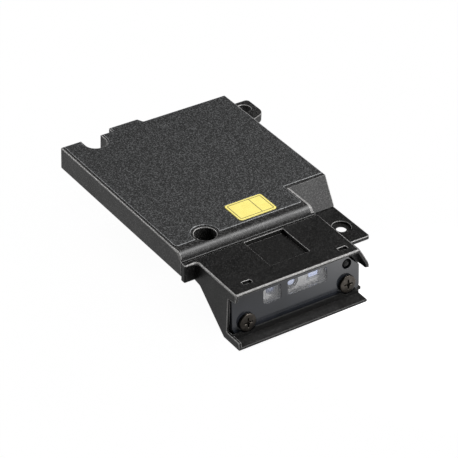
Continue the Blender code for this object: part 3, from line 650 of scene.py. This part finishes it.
def nosed_profile():
    """The housing's section in (y, z): foot, rounded nose, top, rounded back edge.

    The points along the flat top are where the rims at the two ends change their radius.
    """
    return [
        *rounded([(FOOT_Y, -5.0), (FOOT_Y, FOOT_TOP, 0.2), (0.0, FOOT_TOP)])[1:-1],
        *arc(NOSE_Y, COVER_TOP - NOSE_R, NOSE_R, 180, 90, 18),
        (4.0, COVER_TOP), (11.5, COVER_TOP), (13.0, COVER_TOP), *back_corner(), (FOOT_Y, COVER_BOTTOM),
    ]


def back_corner():
    corners = [
        (30.0, COVER_TOP), (BACK_Y, COVER_TOP, 0.35), (BACK_Y, COVER_BOTTOM, 0.35), (30.0, COVER_BOTTOM),
    ]
    return rounded(corners)[1:-1]


def left_rim(y, z):
    """Edge radius at the housing's left end: widest on the nose, small at the toe."""
    if y < -0.66:
        return 0.18
    return 0.55 if y < 1.5 and z > -2.6 else 0.33


def right_rim(y, z):
    """Edge radius where the nose ends at the cut-back corner; it fades inside the right block."""
    if y < -0.66 or y > 12.0 or z < -4.0:
        return 0.15
    return 1.35


def cutback_y(z, inset=0.0):
    return CUTBACK_TOP_Y + CUTBACK_SLOPE * z + inset


def sheet_outline(grow=0.0):
    """Plan of the textured sheet, or of its pocket when grown."""
    front = 3.1 - grow
    hole_r = 4.2 - grow
    reach = math.degrees(math.asin((front - ACCESS_HOLE[1]) / hole_r))
    around_hole = arc(*ACCESS_HOLE, hole_r, 180 - reach, reach, 24)
    notch_edge = NOTCH_R + 0.75 - grow
    around_notch = arc(NOTCH_X, NOTCH_Y, notch_edge, 0, -180, 24)
    front_left = rounded([(1.1 - grow, 60.5), (1.1 - grow, front, 1.0), (6.0, front)])[1:-1]
    right_back = rounded([
        (16.0, front), (42.1 + grow, front, 0.8), (42.1 + grow, 12.0 - grow, 0.3),
        (55.4 + grow, 12.0 - grow, 0.4), (55.4 + grow, 60.5 + grow, 0.4),
        (27.2 + grow, 60.5 + grow, 0.5), (26.3 + grow, 62.4 + grow, 0.4),
        (17.6 - grow, 62.4 + grow, 0.4), (17.6 - grow, 60.5 + grow, 0.3), (14.5, 60.5 + grow),
    ])[1:-1]
    after_notch = [(NOTCH_X + notch_edge, 60.5 + grow), *around_notch, (NOTCH_X - notch_edge, 60.5 + grow)]
    return [*front_left, *around_hole, *right_back, *after_notch, (1.1 - grow, 60.5 + grow)]


def cover_body():
    cover = prism(nosed_profile(), 0.0, NOSE_RIGHT, "X", (left_rim, right_rim))
    cutback = rounded([
        (8.4, COVER_BOTTOM), (8.4, CUTBACK_LOW), (cutback_y(CUTBACK_LOW), CUTBACK_LOW),
        (cutback_y(COVER_TOP), COVER_TOP, 0.35), (30.0, COVER_TOP),
    ])[:-1]
    join(cover, prism([*cutback, *back_corner()], NOSE_RIGHT - 2.0, WIDTH, "X", (0.0, 0.33)))
    tab = rounded([
        (17.0, 59.5), (17.0, 63.0, 0.5), (26.7, 63.0, 0.5), (26.7, 61.6, 0.3), (27.6, 60.9), (27.6, 59.5),
    ])
    join(cover, prism(tab, COVER_BOTTOM + NUDGE, COVER_TOP - NUDGE, rims=(0.1, 0.25)))
    ear = rounded([
        (56.0, 46.5), (57.2, 50.0, 2.0), (64.4, 52.6, 3.0),
        (64.4, BACK_Y - NUDGE, 1.2), (54.0, BACK_Y - NUDGE), (54.0, 46.5),
    ])
    join(cover, prism(ear, COVER_BOTTOM + NUDGE, EAR_TOP, rims=(0.15, 0.14)))
    return cover


def hollow_cover(cover):
    """The inside: two cavities, the bosses that hang in them and the holes for the hood's screws."""
    inner_back = BACK_Y - COVER_WALL
    boss_top = COVER_CEILING + 0.3
    nosed = [
        (-4.0, FOOT_UNDER), (1.9, FOOT_UNDER), (4.2, COVER_CEILING), (inner_back, COVER_CEILING),
        (inner_back, DEEP), (-4.0, DEEP),
    ]
    right = [
        (cutback_y(COVER_CEILING, 1.55), COVER_CEILING), (inner_back, COVER_CEILING), (inner_back, DEEP),
        (cutback_y(DEEP, 1.55), DEEP),
    ]
    cut(cover, prism(nosed, COVER_WALL, NOSE_RIGHT - COVER_WALL, "X"))
    cut(cover, prism(right, NOSE_RIGHT - 2.0, WIDTH - COVER_WALL, "X"))
    for x, y in TRAY_SCREWS:
        join(cover, prism(ring(x, y, 1.9, 32), COVER_BOTTOM, boss_top))
        cut(cover, prism(ring(x, y, 0.85, 24), DEEP, -2.6))
    join(cover, prism(rectangle(5.4, 54.0, 14.5, BACK_Y - 0.5), COVER_BOTTOM, boss_top))
    join(cover, prism(ring(*ACCESS_HOLE, 4.3), COVER_BOTTOM, boss_top))
    for x in TONGUE_X:
        cut(cover, prism(ring(x, 1.6, 0.85, 24), -4.0, -1.7))


def make_cover():
    cover = cover_body()
    hollow_cover(cover)
    bottom = arc(NOTCH_X, NOTCH_Y, NOTCH_R, 0, -180, 32)
    notch = [(NOTCH_X + NOTCH_R, 66.0), *bottom, (NOTCH_X - NOTCH_R, 66.0)]
    cut(cover, bore(notch, DEEP, COVER_TOP, 0.25))
    cut(cover, bore(ring(*ACCESS_HOLE, ACCESS_R), DEEP, COVER_TOP, 0.25))
    cut(cover, bore(sheet_outline(GAP), POCKET_FLOOR, COVER_TOP, 0.08))
    cut(cover, bore(ring(*EAR_HOLE, 2.1), DEEP, EAR_TOP, 0.22))
    finished(cover, "cover_shell", "cast_cover", "top_cover")


def make_sheet():
    sheet = prism(sheet_outline(0.2), -0.4, 0.0, rims=(0.0, 0.17))
    cut(sheet, bore(rectangle(*LABEL_LOW, *LABEL_HIGH, 0.6), -2.0, 0.0, 0.08))
    finished(sheet, "grained_sheet", "textured_film", "textured_sheet")


def make_label():
    """A plain adhesive label with an inked border and one dividing line, and no writing."""
    (low_x, low_y), (high_x, high_y) = LABEL_LOW, LABEL_HIGH
    outline = rectangle(low_x + 0.2, low_y + 0.2, high_x - 0.2, high_y - 0.2, 0.8)
    label = prism(outline, -0.35, 0.06, rims=(0.0, 0.04))
    finished(label, "label_face", "label", "yellow_label")
    inset = 0.75
    width = 0.22
    ink_span = (0.05, 0.08)
    outer = (low_x + inset, low_y + inset, high_x - inset, high_y - inset)
    frame_line = prism(rectangle(*outer, 0.5), *ink_span)
    inner = (outer[0] + width, outer[1] + width, outer[2] - width, outer[3] - width)
    cut(frame_line, prism(rectangle(*inner, 0.3), -1.0, 1.0))
    divider_x = low_x + 0.62 * (high_x - low_x)
    join(frame_line, prism(rectangle(divider_x, outer[1], divider_x + width, outer[3]), *ink_span))
    finished(frame_line, "label_lines", "ink")


def make_tray():
    floor = rounded([
        (TRAY_LEFT, TRAY_FRONT_Y, 0.8), (FLANGE_LEFT, TRAY_FRONT_Y), (FLANGE_LEFT, FLANGE_FRONT_Y, 0.5),
        (WIDTH, FLANGE_FRONT_Y, 0.6), (WIDTH, BACK_Y, 0.3), (13.5, BACK_Y, 0.3), (13.5, 55.0, 1.5),
        (6.4, 55.0, 1.5), (6.4, BACK_Y, 0.3), (TRAY_LEFT, BACK_Y, 1.0),
    ])
    tray = prism(floor, TRAY_BOTTOM, TRAY_TOP, rims=(0.2, 0.2))
    rim = TRAY_TOP - 0.3
    lap = (
        ((TRAY_LEFT, 8.0, rim), (3.6, 52.5, -5.8)), ((1.6, 8.0, -6.9), (3.2, 52.5, -5.8)),
        ((53.4, 20.0, rim), (54.4, 50.0, -5.8)), ((16.0, 58.5, rim), (50.0, 59.5, -5.8)),
        ((54.9, 9.5, rim), (WIDTH - NUDGE, 60.5, -7.3)), ((16.0, 60.0, rim), (55.4, BACK_Y - NUDGE, -7.3)),
    )
    for low, high in lap:
        join(tray, block(low, high, 0.1))
    for x, y in TRAY_SCREWS:
        join(tray, prism(ring(x, y, 2.1, 32), rim, COVER_BOTTOM - GAP))
        cut(tray, prism(ring(x, y, 1.1, 24), DEEP, -4.0))
        cut(tray, bore(ring(x, y, 2.0, 40), TRAY_BOTTOM + 0.8, TRAY_BOTTOM, 0.15))
    for x, y in BOARD_SCREWS:
        join(tray, prism(ring(x, y, 1.9, 32), rim, BOARD_UNDER - GAP))
        cut(tray, prism(ring(x, y, 0.95, 24), -8.6, -4.0))
    join(tray, prism(ring(*ACCESS_HOLE, 3.9), rim, COVER_BOTTOM - GAP))
    cut(tray, bore(ring(*ACCESS_HOLE, 1.6, 40), -4.0, TRAY_BOTTOM, 0.2))
    cut(tray, bore(ring(*FLANGE_HOLE, 1.5, 40), -4.0, TRAY_BOTTOM, 0.1))
    cut(tray, bore(ring(*FLANGE_HOLE, 2.75), TRAY_TOP - 0.75, TRAY_TOP, 0.16))
    cut(tray, bore(rectangle(20.6, 38.6, 39.4, 45.4, 0.6), -4.0, TRAY_BOTTOM, 0.2))
    finished(tray, "tray_shell", "cast_hood", "lower_tray")


# ---------------------------------------------------------------- hood


def plate_rim(x, y):
    """Edge radius of the plate: thin where it meets the housing and at the block's outer corner."""
    if y > HOOD_BACK_Y - 0.1:
        return 0.1
    return 0.28 if x < 0.4 else 0.45


def hood_plate():
    plan = rounded([
        (0.0, HOOD_BACK_Y), (0.0, BLOCK_FRONT_Y, 0.32), (HOOD_LEFT, BLOCK_FRONT_Y, 0.9),
        (HOOD_LEFT, HOOD_FRONT_Y, 0.6), (PLATE_RIGHT, HOOD_FRONT_Y, 0.5), (PLATE_RIGHT, HOOD_BACK_Y),
    ])
    hood = prism(plan, PLATE_TOP - SHEET_WALL, PLATE_TOP, rims=(0.1, plate_rim))
    side = rounded([
        (0.0, HOOD_BACK_Y), (0.0, BLOCK_FRONT_Y, 0.32), (HOOD_LEFT + 0.5, BLOCK_FRONT_Y),
        (HOOD_LEFT + 0.5, HOOD_BACK_Y),
    ])
    join(hood, prism(side, -8.15, PLATE_TOP - 0.6, rims=(0.2, 0.0)))
    join(hood, block((5.2, -2.6, -4.4), (42.4, -0.6, -3.5)))
    for x in TONGUE_X:
        tongue = rounded([(x - 1.9, -1.5), (x + 1.9, -1.5), (x + 1.9, 3.6, 1.2), (x - 1.9, 3.6, 1.2)])
        join(hood, prism(tongue, -4.4, -3.5, rims=(0.1, 0.1)))
    return hood


def side_wall_outline():
    """The left wall in (y, z), stepped back round the window, with an arm over the lip."""
    return rounded([
        (HOOD_BACK_Y, PLATE_TOP), (HOOD_FRONT_Y, PLATE_TOP, 0.5), (HOOD_FRONT_Y, -5.1, 0.45),
        (-17.5, -5.7, 0.4), (-17.5, -16.6, 0.3), (LIP_FRONT_Y + 0.4, -16.6, 0.45), (LIP_FRONT_Y, BASE_Z, 0.3),
        FLOOR_LOW, FLOOR_HIGH, (-2.0, -9.03), (HOOD_BACK_Y, -9.0),
    ])


def wing_outline():
    """The right wall in (x, z): it flares outwards from the plate's edge and then drops straight."""
    return rounded([
        (PLATE_RIGHT - 3.0, PLATE_TOP - 0.2), (PLATE_RIGHT, PLATE_TOP, 0.6), (46.06, -5.31, 2.0),
        (47.63, -7.94, 1.5), (48.0, -8.9, 0.5), (HOOD_RIGHT, -10.0), (HOOD_RIGHT, BASE_Z),
        (HOOD_RIGHT - SHEET_WALL, BASE_Z), (HOOD_RIGHT - SHEET_WALL, -9.7), (46.6, -9.5, 0.4),
        (44.68, -7.44, 1.5), (42.79, -5.23, 1.5), (41.68, -3.51),
    ])


def horn_hollow():
    """A cutter that leaves the wing's front end a thin, hollow horn."""
    outline = [
        (40.6, -3.62), (43.9, -3.62), (45.3, -5.9), (46.8, -8.4), (46.9, -9.0), (46.0, -12.0), (40.6, -5.0),
    ]
    return prism(outline, -24.0, -18.4, "Y")


def lip_corners():
    return [(LIP_FRONT_Y, LIP_TOP, 0.28), (LIP_FRONT_Y, BASE_Z, 0.28)]


def below_slope():
    """Everything under the sloping floor, for trimming what hangs through it."""
    outline = [(-16.4, -30.0), FLOOR_LOW, FLOOR_HIGH, (-2.0, -9.03), (20.0, -9.0), (20.0, -30.0)]
    return prism(outline, -10.0, 70.0, "X")


def wall_rim(y, z):
    """Edge radius of the left wall's outer side: full along the plate, fine below it."""
    return 0.45 if z > -3.6 else 0.2


def hood_walls(hood):
    join(hood, prism(side_wall_outline(), HOOD_LEFT, HOOD_LEFT + SHEET_WALL, "X", (wall_rim, 0.14)))
    wing = prism(wing_outline(), HOOD_FRONT_Y, WING_BACK_Y, "Y", (0.3, 0.1))
    step = rounded([(-30, -9.6), (-15.9, -9.6, 1.0), (-15.9, -30), (-30, -30)])
    cut(wing, prism(step, 45.0, 60.0, "X"))
    cut(wing, horn_hollow())
    join(hood, wing)
    floor = rounded([
        *lip_corners(), FLOOR_LOW, FLOOR_HIGH, (-2.0, -9.03), (-2.0, -9.03 + SHEET_WALL),
        (-4.1, -9.42 + SHEET_WALL), (-16.1, LIP_TOP),
    ])
    join(hood, prism(floor, HOOD_LEFT + 0.2, PLATE_RIGHT - 0.1, "X"))
    lip_end = rounded([*lip_corners(), (-16.0, BASE_Z), (-16.0, LIP_TOP)])
    join(hood, prism(lip_end, 40.0, LIP_RIGHT, "X", (0.0, 0.27)))
    right_floor = [
        (-18.0, BASE_Z), FLOOR_LOW, (WING_BACK_Y, -14.54), (WING_BACK_Y, -13.4), (-16.1, LIP_TOP),
        (-18.0, LIP_TOP),
    ]
    join(hood, prism(right_floor, 43.0, HOOD_RIGHT, "X", (0.0, 0.1)))
    low = (PLATE_RIGHT - 1.0, WING_BACK_Y - 0.5, -15.0)
    high = (PLATE_RIGHT - 0.1, HOOD_BACK_Y, PLATE_TOP - 0.5)
    join(hood, block(low, high))
    back = [(WING_BACK_Y - 0.9, -4.0), (WING_BACK_Y, -4.0), (WING_BACK_Y, -15.0), (WING_BACK_Y - 0.9, -16.0)]
    join(hood, prism(back, PLATE_RIGHT - 0.5, 45.2, "X"))
    behind = [(44.0, -5.6), (45.8, -5.6), (47.6, -8.6), (47.8, -14.0), (44.0, -14.0)]
    join(hood, prism(behind, WING_BACK_Y - 0.9, WING_BACK_Y, "Y"))


def sill_rib(hood):
    """A thin rib on the lip that hides the window's lower edge, notched round the screw heads."""
    right = LIP_RIGHT - 0.1
    outline = rounded([
        (HOOD_LEFT + 0.4, LIP_TOP - 0.3), (HOOD_LEFT + 0.4, SILL_TOP), (right, SILL_TOP, 1.5),
        (right, LIP_TOP - 0.3),
    ])
    rib = prism(outline, SILL_FRONT_Y, SILL_FRONT_Y + 0.5, "Y")
    for x in (WINDOW_X - SCREW_X, WINDOW_X + SCREW_X):
        notch = ring(x, SILL_NOTCH_Z, SILL_NOTCH_R, 48)
        cut(rib, prism(notch, SILL_FRONT_Y - 1.0, SILL_FRONT_Y + 1.5, "Y"))
    join(hood, rib)


def window_bosses(hood):
    for x in (-SCREW_X, SCREW_X):
        join(hood, prism(ring(x, SCREW_Z, 2.6, 40), 1.9, 7.0, "Y", placement=WINDOW))
    join(hood, block((HOOD_LEFT + 0.3, -16.6, -17.6), (7.6, -12.6, -12.6)))
    join(hood, block((44.0, -15.6, -17.6), (HOOD_RIGHT - 0.3, -12.6, -12.6)))
    cut(hood, below_slope())
    for x in (-SCREW_X, SCREW_X):
        cut(hood, prism(ring(x, SCREW_Z, 1.7, 40), -1.0, 3.9, "Y", placement=WINDOW))


def make_hood():
    hood = hood_plate()
    hood_walls(hood)
    join(hood, block((18.6, -15.3, -5.0), (33.4, HOOD_BACK_Y - 0.1, -3.0)))
    window_bosses(hood)
    sill_rib(hood)
    cut(hood, bore(rectangle(19.6, -14.4, 32.4, -1.9, 0.3), -4.1, PLATE_TOP, 0.16))
    join(hood, prism(rectangle(19.74, -14.26, 32.26, -2.04, 0.3), -4.4, RECESS_FLOOR, rims=(0.0, 0.16)))
    for corners in ((8.64, -17.9, 11.4, -16.6), (39.3, -18.6, 42.1, -17.3)):
        cut(hood, bore(rectangle(*corners, 0.25), PLATE_TOP - 0.8, PLATE_TOP, 0.18))
    for x in TONGUE_X:
        cut(hood, prism(ring(x, 1.6, 1.0, 24), -6.0, -3.0))
    finished(hood, "hood_shell", "cast_hood", "scanner_hood")


# ---------------------------------------------------------------- scan window


def window_outline():
    """The window panel's face, with its upper right corner cut to follow the flared wing."""
    return rounded([
        (-20.9, -6.5, 2.0), (20.9, -6.5, 1.4), (20.9, 0.9, 0.4), (18.45, 3.2), (16.4, 5.5), (15.4, 7.1, 0.4),
        (-20.9, 7.1, 0.5),
    ])


def make_window():
    panel = prism(window_outline(), 0.0, WINDOW_T, "Y", (0.15, 0.05), WINDOW)
    for x in (-SCREW_X, SCREW_X):
        cut(panel, prism(ring(x, SCREW_Z, 1.4, 40), -3.0, 3.0, "Y", placement=WINDOW))
    cut(panel, bore(ring(*PIN_AT, 1.5, 48), 3.0, 0.0, 0.12, "Y", WINDOW))
    mask = prism(window_outline(), WINDOW_T + GAP, MASK_BACK, "Y", placement=WINDOW)
    for name, (low, high) in PANES.items():
        opening = rectangle(low, PANE_Z[0], high, PANE_Z[1], 0.6)
        cut(panel, bore(opening, 3.0, 0.0, 0.07, "Y", WINDOW))
        cut(mask, prism(opening, -3.0, 3.0, "Y", placement=WINDOW))
        inner = rectangle(low + 0.03, PANE_Z[0] + 0.03, high - 0.03, PANE_Z[1] - 0.03, 0.57)
        pane = prism(inner, 0.08, 0.7, "Y", (0.03, 0.03), WINDOW)
        finished(pane, f"{name}_pane", "pane")
    for x in (-SCREW_X, SCREW_X):
        cut(mask, prism(ring(x, SCREW_Z, 1.4, 40), -3.0, 3.0, "Y", placement=WINDOW))
    cut(mask, prism(ring(*PIN_AT, 1.5, 48), -3.0, 3.0, "Y", placement=WINDOW))
    finished(panel, "window_panel", "panel", "window_plate")
    finished(mask, "mask_sheet", "mask", "window_mask")


def screw(node, placement, head_r, head_h, shank_r, length, material):
    """A pan-head screw with a tapered cross recess; its axis is the placement's Z, its seat at height 0."""
    shoulder = arc(head_r - 0.22, head_h * 0.86 - 0.22, 0.22, 0, 80, 6)
    crown = [(head_r * reach, head_h * (1.0 - 0.14 * reach * reach)) for reach in (0.8, 0.6, 0.4, 0.2, 0.04)]
    shank = [(shank_r * 0.6, -length), (shank_r, -length + 0.3), (shank_r, -0.02)]
    seat = [(head_r * 0.96, 0.0), (head_r, 0.06)]
    body = turned([*shank, *seat, *shoulder, *crown], placement, 72)
    arm = head_r * 0.55
    half = head_r * 0.085
    for turn, depth in ((0.0, 0.25), (math.pi / 2, 0.28)):
        placed = placement @ Matrix.Rotation(turn, 4, "Z")
        slot = rectangle(-arm, -half, arm, half, half * 0.9)
        cut(body, bore(slot, head_h * depth, head_h * 0.93, head_r * 0.04, "Z", placed))
    heart = [(head_r * 0.1, head_h * 0.15), (head_r * 0.24, head_h * 0.95), (head_r * 0.24, head_h * 2)]
    cut(body, turned(heart, placement, 32))
    finished(body, f"{node}_fine", material, node)


def make_screws():
    facing = WINDOW @ Matrix.Rotation(math.radians(90.0), 4, "X")
    for side, x in (("left", -SCREW_X), ("right", SCREW_X)):
        place = facing @ Matrix.Translation((x, SCREW_Z, GAP))
        screw(f"window_screw_{side}", place, 2.6, 0.85, 0.95, 3.9, "dark_steel")
    down = Matrix.Rotation(math.pi, 4, "X")
    for index, (x, y) in enumerate(TRAY_SCREWS, 1):
        place = Matrix.Translation((x, y, TRAY_BOTTOM + 0.8 - GAP)) @ down
        screw(f"tray_screw_{index}", place, 1.7, 0.45, 0.75, 5.6, "steel")


def dome(radius, height, sink=0.0):
    """The points of a dome's profile from its rim almost to its crown, lowered by sink."""
    angles = [math.radians(d) for d in (87, 69, 51, 33, 16, 5)]
    return [(radius * math.sin(a), height * math.cos(a) - sink) for a in angles]


def make_pin():
    facing = WINDOW @ Matrix.Rotation(math.radians(90.0), 4, "X") @ Matrix.Translation((*PIN_AT, -0.5))
    pin = turned([(1.0, -1.6), (1.1, -1.5), (1.1, -0.1), *dome(1.08, 0.42)], facing, 48)
    finished(pin, "pin_fine", "cast_hood", "locating_pin")


def make_lens():
    """The imaging lens, domed, just inside the mouth of its barrel."""
    facing = Matrix.Translation(LENS_AT) @ Matrix.Rotation(math.radians(90.0), 4, "X")
    lens = turned([(1.0, -1.6), (1.12, -1.5), *dome(1.12, 0.45, 0.2)], facing, 48)
    finished(lens, "lens_fine", "imaging_glass", "imaging_lens")


def make_contacts():
    """Two rows of gold springs in the docking connector's slot."""
    half_thick = 0.08
    half_wide = 0.25
    for index in range(CONTACT_COUNT):
        x = CONNECTOR_X + (index - (CONTACT_COUNT - 1) / 2) * CONTACT_PITCH
        for side, (y, lean) in CONTACT_ROWS.items():
            centre_line = ((y, -6.0), (y + lean, -8.6), (y, -9.4))
            front = [(a - half_thick, b) for a, b in centre_line]
            back = [(a + half_thick, b) for a, b in centre_line]
            outline = [front[0], *back, *reversed(front[1:])]
            spring = prism(outline, x - half_wide, x + half_wide, "X", (0.03, 0.03), steps=2)
            finished(spring, f"contact_{side}_{index + 1}", "gold")


# ---------------------------------------------------------------- carried-over CAD nodes

CARRIED = {
    "brass": ("threaded_insert_left", "threaded_insert_right"),
    "engine_plastic": ("engine_chassis",),
    "barrel_plastic": ("lens_barrel",),
    "black_plastic": ("image_sensor", "flex_latch", "processor_chip", "memory_chip", "power_inductor",
                      "docking_connector"),
    "lens_glass": ("aimer_lens",),
    "led_glass": ("led_lens",),
    "ivory_plastic": ("led_body", "flex_connector"),
    "circuit_board": ("engine_board", "main_board"),
    "steel": ("engine_screw_left", "engine_screw_right", "board_screw_1", "board_screw_2", "board_screw_3",
              "board_screw_4", "hood_screw_left", "hood_screw_right", "shield_can", "clock_crystal"),
    "foam": ("engine_cushion", "insulating_sheet"),
    "flex_film": ("engine_flex",),
    "thermal_pad": ("thermal_pad",),
}


def dress_carried_nodes():
    for key, nodes in CARRIED.items():
        for node in nodes:
            mesh = frame["nodes"][node].data
            mesh.materials.clear()
            mesh.materials.append(MATERIALS[key])


# ---------------------------------------------------------------- stage


def make_floor():
    """A pale light table: evenly white, with a pool of light painted into its glow to the front right, which
    the window reflects.
    """
    bpy.ops.mesh.primitive_plane_add(size=6.0, location=(0.0, 0.0, CAD_LOW.z - 0.0002))
    floor = bpy.context.object
    floor.name = "floor"
    made = Shader("floor_paper", Specular_IOR_Level=0.2)
    made.shader.inputs["Emission Color"].default_value = (1.0, 1.0, 1.0, 1.0)
    made.colours(made.noise(60.0), (0.3, grey(0.82)), (0.7, grey(0.84)))
    made.span(made.noise(40.0), 0.75, 0.85, "Roughness")
    pool = made.tree.nodes.new("ShaderNodeTexGradient")
    pool.gradient_type = "QUADRATIC_SPHERE"
    shift = made.tree.nodes.new("ShaderNodeMapping")
    shift.vector_type = "TEXTURE"
    shift.inputs["Location"].default_value = at(*POOL_CENTRE, BASE_Z)
    shift.inputs["Scale"].default_value = (POOL_RADIUS * MM,) * 3
    made.link(made.place, shift.inputs["Vector"])
    made.link(shift.outputs["Vector"], pool.inputs["Vector"])
    glow = made.tree.nodes.new("ShaderNodeMapRange")
    glow.inputs["To Min"].default_value = FLOOR_GLOW
    glow.inputs["To Max"].default_value = POOL_GLOW
    made.link(pool.outputs["Fac"], glow.inputs["Value"])
    made.link(glow.outputs["Result"], made.shader.inputs["Emission Strength"])
    floor.data.materials.append(made.material)


def area_light(name, place, size, radiance):
    """A rectangular softbox of a given radiance, turned to the module."""
    light = bpy.data.lights.new(name, "AREA")
    light.shape = "RECTANGLE"
    light.size, light.size_y = size
    light.energy = radiance * math.pi * size[0] * size[1]
    obj = bpy.data.objects.new(name, light)
    bpy.context.scene.collection.objects.link(obj)
    obj.location = place
    obj.rotation_euler = (Vector(LIGHT_AIM) - Vector(place)).to_track_quat("-Z", "Y").to_euler()
    return obj


def make_lights():
    """Softboxes that light only the module, so that it throws no shadow on the floor, and a faint sky."""
    world = bpy.data.worlds.new("studio")
    bpy.context.scene.world = world
    world.use_nodes = True
    world.node_tree.nodes["Background"].inputs["Color"].default_value = (1.0, 1.0, 1.0, 1.0)
    world.node_tree.nodes["Background"].inputs["Strength"].default_value = SKY_GLOW
    lit = bpy.data.collections.new("lit_by_softboxes")
    for obj in bpy.context.scene.collection.objects:
        if obj.type == "MESH" and obj.name != "floor":
            lit.objects.link(obj)
    for name, (place, size, radiance) in SOFTBOXES.items():
        softbox = area_light(name, place, size, radiance)
        softbox.light_linking.receiver_collection = lit


MATERIALS = make_materials()
make_camera()
make_cover()
make_sheet()
make_label()
make_tray()
make_hood()
make_window()
make_screws()
make_pin()
make_lens()
make_contacts()
dress_carried_nodes()
make_floor()
make_lights()
bpy.context.scene.view_settings.view_transform = "Standard"
